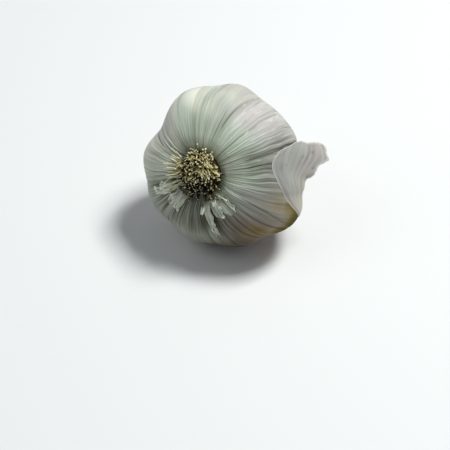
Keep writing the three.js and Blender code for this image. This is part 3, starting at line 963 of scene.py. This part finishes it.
across, run = np.meshgrid(np.linspace(-1, 1, SCRAP_COLUMNS + 1), np.linspace(0, 1, SCRAP_ROWS + 1))
scrap_points, scrap_fibre, scrap_lines, scrap_tones, scrap_faces = [], [], [], [], []
for index, (at, start, wide, long, drift, curl, crumple, ribs, pale, fray) in enumerate(SCRAPS):
    seed = 3.7 * index + 0.4
    outer = smooth(np.abs(across), 0.45, 1) * np.sign(across)
    pull = np.where(across < 0, torn_edge(run * long, 0.36, seed), torn_edge(run * long, 0.36, seed + 4))
    sideways = wide * MM * (0.5 * across * (1 - 0.28 * run) - 0.34 * outer * pull)
    short = run - smooth(run, 0.5, 1) * fray * torn_edge(across * wide, 0.2 + fray, seed + 2)
    along = (start + long * short) * MM
    angle = np.radians(at + drift * run) + sideways / np.interp(along, outline_along, outline[:, 0])
    rib = thin_lines(across, run * long * MM, (4 * ribs, 22, seed + 3), 2.6)
    crumpled = np.abs(soft_noise(across * wide * 0.3, run * long * 0.3, seed + 4)) * smooth(run, 0.1, 0.7)
    lift = skin_dents(angle, along) + (0.3 + curl * run**2 + 0.16 * rib + crumple * crumpled) * MM
    broken = smooth(soft_noise(across * wide * 0.7, run * long * 0.7, seed + 6), -0.3, 0.3)
    tip = 1 - smooth((1 - run) * long, 0, 0.5)
    edge = 1 - smooth((1 - np.abs(across)) * wide / 2, 0, 0.25)
    rim = np.maximum(tip, 0.3 * edge) * (0.2 + 0.8 * broken)
    strength = min(1.0, 0.45 + 0.6 * pale)
    for inset in (SCRAP_THICKNESS, 0):
        scrap_points.append(skin_place(angle, along, lift + inset).reshape(-1, 3))
        scrap_fibre.append(fibre_place(angle, along).reshape(-1, 3))
        scrap_lines.append(flat_stack(strength * rib, strength * rim, run))
        scrap_tones.append(flat_stack(pale * broken, 0 * run, 0 * run))
    scrap_faces += sheet_faces(SCRAP_COLUMNS, SCRAP_ROWS, 2 * index * across.size)
collar = mesh_piece("torn_collar", np.vstack(scrap_points), scrap_faces, {
    "fibre": np.vstack(scrap_fibre),
    "lines": np.vstack(scrap_lines),
    "tones": np.vstack(scrap_tones),
})
ribbed, tree, shader = new_material("torn_scraps")
leaf = leaf_fibres(tree)
on_rib, on_rim, scrap_run = point_values(tree, "lines")
colour = graded(tree, leaf["Streak"], SCRAP_RAMP)
colour = layered(tree, colour, (
    (SCRAP_CREAM, point_values(tree, "tones")["X"], 0.65),
    # Painted shade on the scraps' feet by the roots
    (SCRAP_FOOT_SHADE, step_of(tree, scrap_run, 0.36, 0.0), 0.75),
    (RIB_WHITE, on_rib, 0.72),
    (RIM_WHITE, on_rim, 0.6),
))
finish(tree, shader, colour, ranged(tree, leaf["Streak"], 0.45, 0.7), leaf["Height"], 0.4, 0.2 * MM)
shader.inputs["Sheen Weight"].default_value = 0.1
collar.data.materials.append(ribbed)
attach(collar, "root")
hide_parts("skin_collar")

# The torn flap: a fan of outer skin that has come loose from the flank and still hangs on low at its foot.
# It is lilac-grey and veined like the wrapper, thin and dry, and stands further off toward the neck.
FLAP_THICKNESS = 0.18 * MM
FLAP_COLUMNS = 96
FLAP_ROWS = 130
FLAP_STEPS = 40
# Its edge toward the roots, its middle and its edge toward the neck, as degrees, distance along the veins
# and lift in millimetres, from the foot up
FLAP_RAILS = (
    (
        (-18, 39.5, 0.2), (-7.5, 29.5, 0.25), (2.5, 24.5, 0.3), (11, 22.7, 0.35), (21, 21.5, 0.45),
        (26, 22.2, 0.7), (31, 24.7, 1.1),
    ),
    (
        (-17, 40.5, 0.2), (-7, 33.5, 0.6), (3.5, 29.7, 0.9), (11.5, 28.5, 1.4), (20, 29.5, 2.2),
        (28, 31, 2.8), (34, 33, 3.2),
    ),
    (
        (-16, 42, 0.2), (-10.5, 40, 0.8), (-1, 39, 1.3), (7, 38.5, 2.2), (11, 40, 6.8), (17, 43, 11.2),
        (28, 42.8, 9.8),
    ),
)
# Small stains as places across and up the flap from 0 to 1, and their size
FLAP_SPOTS = (
    (0.74, 0.88, 0.02), (0.9, 0.56, 0.022), (0.62, 0.8, 0.014), (0.86, 0.7, 0.016), (0.35, 0.66, 0.012),
)
FLAP_VEINS = ((74, 60, 14.2), 3.0)
FLAP_PUCKERS = ((52, 16, 4.6), 3.4)
FLAP_ARC = 2.2
FLAP_LENGTH = 30 * MM
FLAP_RAMP = ((0.30, (158, 155, 152)), (0.50, (167, 166, 160)), (0.70, (178, 178, 169)))
# Yellow of painted light shining through the thin flap
FLAP_LIGHT_THROUGH_YELLOW = (176, 176, 122)
FLAP_FOOT = (202, 184, 164)
FLAP_BLUSH = (200, 188, 182)
PUCKER_GREY = (112, 108, 112)
SPOT_GREY = (112, 116, 104)
BLOTCH_GREY = (150, 150, 152)
FLAP_VEIN_GREY = (190, 186, 192)
FLAP_SILK = (70, 70, 70)
FLAP_RIM = (218, 216, 206)

across, run = np.meshgrid(np.linspace(0, 1, FLAP_COLUMNS + 1), np.linspace(0, 1, FLAP_ROWS + 1))
free = smooth(run, 0.2, 0.5)
tear = 0.04 + 0.1 * soft_noise(run * 6, 0 * run, 5.2) + 0.025 * soft_noise(run * 25, 0 * run, 1.9)
torn = across * (1 - free * np.abs(tear) * smooth(across, 0.4, 1))
notch = 0.03 + 0.05 * soft_noise(across * 4, 0 * run, 7.4) + 0.015 * soft_noise(across * 24, 0 * run, 2.2)
short = run - np.abs(notch) * smooth(run, 0.6, 1)
rails = []
for rail in FLAP_RAILS:
    traced = curve_through(rail, FLAP_STEPS)
    steps = np.linspace(0, 1, len(traced))
    rails.append(np.stack([np.interp(short, steps, traced[:, axis]) for axis in range(3)], -1))
weights = ((1 - torn) * (1 - 2 * torn), 4 * torn * (1 - torn), torn * (2 * torn - 1))
flap_place = sum(rail * weight[..., None] for rail, weight in zip(rails, weights))
fan = thin_lines(FLAP_ARC * torn, FLAP_LENGTH * run, *FLAP_VEINS)
fan = fan * (0.3 + 0.7 * smooth(soft_noise(torn * 9, run * 5, 8.8), -0.25, 0.3))
pucker = thin_lines(FLAP_ARC * torn, FLAP_LENGTH * run, *FLAP_PUCKERS)
pucker = pucker * smooth(torn, 0.4, 0.75) * smooth(run, 0.55, 0.8)
spot = np.zeros_like(run)
for beside, up, wide in FLAP_SPOTS:
    spot = np.maximum(spot, np.exp(-((torn - beside) / wide) ** 2 - ((run - up) / (1.3 * wide)) ** 2))
blush = smooth(torn, 0.45, 0.9) * smooth(run, 0.35, 0.6)
# Painted light shining through the flap, on its lower half toward the edge nearer the neck
light_through = smooth(torn, 0.55, 0.95) * (1 - smooth(run, 0.4, 0.6))
ripple = soft_noise(torn * 5, run * 3, 3.9) * free * smooth(torn, 0, 0.3)
seat = smooth(torn, 0, 0.24)
angle = np.radians(flap_place[..., 0])
along = flap_place[..., 1] * MM
lift = (flap_place[..., 2] * seat - 0.1 * (1 - seat) + 0.4 * ripple + 0.05 * fan * free) * MM
lift = lift + skin_dents(angle, along)
to_edge = np.minimum(across, np.minimum(1 - across, 1.5 * (1 - run)))
flap_points = [skin_place(angle, along, lift + inset).reshape(-1, 3) for inset in (FLAP_THICKNESS, 0)]
flap_fibre = flat_stack(1.1 * torn, 2 + 0 * torn, 1.6 * run)
flap_lines = flat_stack(fan, 1 - smooth(to_edge, 0, 0.05), light_through)
flap_tones = flat_stack(blush, spot, pucker)
flap = mesh_piece("torn_flap", np.vstack(flap_points), sheet_faces(FLAP_COLUMNS, FLAP_ROWS, 0), {
    "fibre": np.vstack((flap_fibre, flap_fibre)),
    "lines": np.vstack((flap_lines, flap_lines)),
    "tones": np.vstack((flap_tones, flap_tones)),
})
lilac_leaf, tree, shader = new_material("lilac_leaf")
leaf = leaf_fibres(tree)
on_fan, on_rim, light_through_mask = point_values(tree, "lines")
blush_mask, spot_mask, pucker_mask = point_values(tree, "tones")
colour = graded(tree, leaf["Streak"], FLAP_RAMP)
colour = layered(tree, colour, (
    # Painted light shining through the flap, yellow
    (FLAP_LIGHT_THROUGH_YELLOW, light_through_mask, 0.45),
    (FLAP_FOOT, step_of(tree, along_leaf(tree), 0.07, 0.02), 0.4),
    (FLAP_BLUSH, blush_mask, 0.5),
    (PUCKER_GREY, pucker_mask, 0.35),
    (SPOT_GREY, spot_mask, 0.7),
    (BLOTCH_GREY, step_of(tree, leaf["Blotch"], 0.46, 0.3), 0.35),
    (FLAP_VEIN_GREY, on_fan, 0.5, "MULTIPLY"),
    (FLAP_SILK, step_of(tree, leaf["Fine"], 0.52, 0.7), 0.25, "SCREEN"),
    (FLAP_RIM, on_rim, 0.8),
))
finish(tree, shader, colour, ranged(tree, leaf["Streak"], 0.45, 0.7), leaf["Height"], 0.35, 0.2 * MM)
shader.inputs["Sheen Weight"].default_value = 0.1
flap.data.materials.append(lilac_leaf)
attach(flap, "root")
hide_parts("skin_flap")

# The surface that the bulb lies on, a plain pale sweep, and the soft light of a studio.
# The key is a broad lamp overhead to the right, with a weak one filling the shaded left side.
FLOOR_HALF = 3.0
FLOOR_GREY = (236, 236, 236)
FLOOR_CORNERS = ((-1, -1), (1, -1), (1, 1), (-1, 1))

floor_mesh = bpy.data.meshes.new("floor")
floor_mesh.from_pydata([(FLOOR_HALF * x, FLOOR_HALF * y, 0) for x, y in FLOOR_CORNERS], [], [(0, 1, 2, 3)])
floor = put("floor", floor_mesh)
pale_floor, _, shader = new_material("pale_floor")
shader.inputs["Base Color"].default_value = paint(*FLOOR_GREY)
shader.inputs["Roughness"].default_value = 0.8
floor_mesh.materials.append(pale_floor)

BULB_MIDDLE = Vector(bulb_to_row(0.0, 0.0, -19 * MM).tolist())
CAMERA_TURN = math.radians(28)
CAMERA_RISE = math.radians(41)
CAMERA_DISTANCE = 0.5
FRAME_PIXELS = 450
PIXEL_SIZE = 0.372 * MM
BULB_PIXEL = (222, 165.5)

level = math.cos(CAMERA_RISE)
back = Vector((math.sin(CAMERA_TURN) * level, -math.cos(CAMERA_TURN) * level, math.sin(CAMERA_RISE)))
right = Vector((math.cos(CAMERA_TURN), math.sin(CAMERA_TURN), 0))
upward = back.cross(right)
target = BULB_MIDDLE + right * (FRAME_PIXELS / 2 - BULB_PIXEL[0]) * PIXEL_SIZE
target -= upward * (FRAME_PIXELS / 2 - BULB_PIXEL[1]) * PIXEL_SIZE
lens = bpy.data.cameras.new("camera")
lens.sensor_width = 36
lens.lens = lens.sensor_width * CAMERA_DISTANCE / (FRAME_PIXELS * PIXEL_SIZE)
lens.clip_start = 0.01
camera = put("camera", lens)
camera.location = BULB_MIDDLE + back * CAMERA_DISTANCE
camera.rotation_euler = (target - camera.location).to_track_quat("-Z", "Y").to_euler()
bpy.context.scene.camera = camera


def lamp(name, toward, distance, width, power, tint):
    """A square soft lamp at a distance from the bulb, facing it."""
    light = bpy.data.lights.new(name, "AREA")
    light.size = width
    light.energy = power
    light.color = tint
    stand = put(name, light)
    stand.location = BULB_MIDDLE + toward.normalized() * distance
    stand.rotation_euler = (-toward).to_track_quat("-Z", "Y").to_euler()


lamp("key_lamp", right * 0.42 + upward * 0.8 + back * 0.5, 1.1, 0.34, 12.5, (0.97, 1, 0.985))
lamp("fill_lamp", right * -0.7 + upward * 0.45 + back * 0.6, 1.4, 0.9, 2.6, (0.95, 0.98, 1))
studio = bpy.data.worlds.new("studio")
studio.use_nodes = True
studio.node_tree.nodes["Background"].inputs["Color"].default_value = (0.9, 0.95, 1, 1)
studio.node_tree.nodes["Background"].inputs["Strength"].default_value = 0.18
bpy.context.scene.world = studio
bpy.context.scene.view_settings.view_transform = "Standard"
